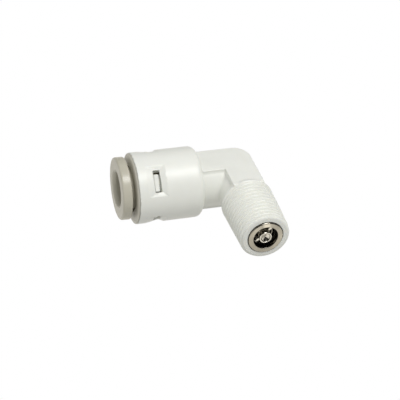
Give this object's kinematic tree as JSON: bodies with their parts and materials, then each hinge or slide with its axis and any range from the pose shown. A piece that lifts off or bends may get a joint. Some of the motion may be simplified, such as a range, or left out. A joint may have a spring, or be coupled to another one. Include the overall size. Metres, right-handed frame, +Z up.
{
  "type": "push to connect elbow fitting",
  "caption": "Plastic elbow with a push-in tube socket and collet on one leg and a male taper pipe thread holding a spring check valve on the other.",
  "frame": {"origin": "under the middle of the whole object, on the plane that it rests on", "axes": "+Z up, both legs level: the tube socket opens towards -X and the threaded nipple towards -Y"},
  "size_m": [0.0288, 0.0272, 0.0139],
  "materials": {
    "body_plastic": "moulded white acetal, slight sheen",
    "collet_plastic": "moulded ivory-grey acetal",
    "inner_plastic": "natural acetal",
    "spring_steel": "bright stainless wire and blade",
    "valve_metal": "turned metal with a satin face and polished edges",
    "seal_rubber": "black nitrile, slightly glossy"
  },
  "bodies": {
    "fitting": {"elbow_body": "body_plastic", "collet_holder": "body_plastic", "front_collar": "collet_plastic", "spacer_ring": "inner_plastic", "tube_o_ring": "seal_rubber", "cartridge_seal": "seal_rubber", "valve_housing": "valve_metal", "valve_spring": "spring_steel", "spider_retainer": "valve_metal"},
    "collet": {"collet": "collet_plastic", "grip_tooth_1": "spring_steel", "grip_tooth_2": "spring_steel", "grip_tooth_3": "spring_steel", "grip_tooth_4": "spring_steel", "grip_tooth_5": "spring_steel", "grip_tooth_6": "spring_steel", "grip_tooth_7": "spring_steel", "grip_tooth_8": "spring_steel"},
    "poppet": {"valve_poppet": "valve_metal", "poppet_seal": "seal_rubber"}
  },
  "joints": [
    {"name": "collet_slide", "type": "slide", "parent": "fitting", "child": "collet", "axis": [1, 0, 0], "range_m": [0, 0.0008]},
    {"name": "poppet_slide", "type": "slide", "parent": "fitting", "child": "poppet", "axis": [0, -1, 0], "range_m": [0, 0.0014], "stiffness_N_per_m": 60, "springref_m": -0.002, "deforming": ["valve_spring"]}
  ]
}
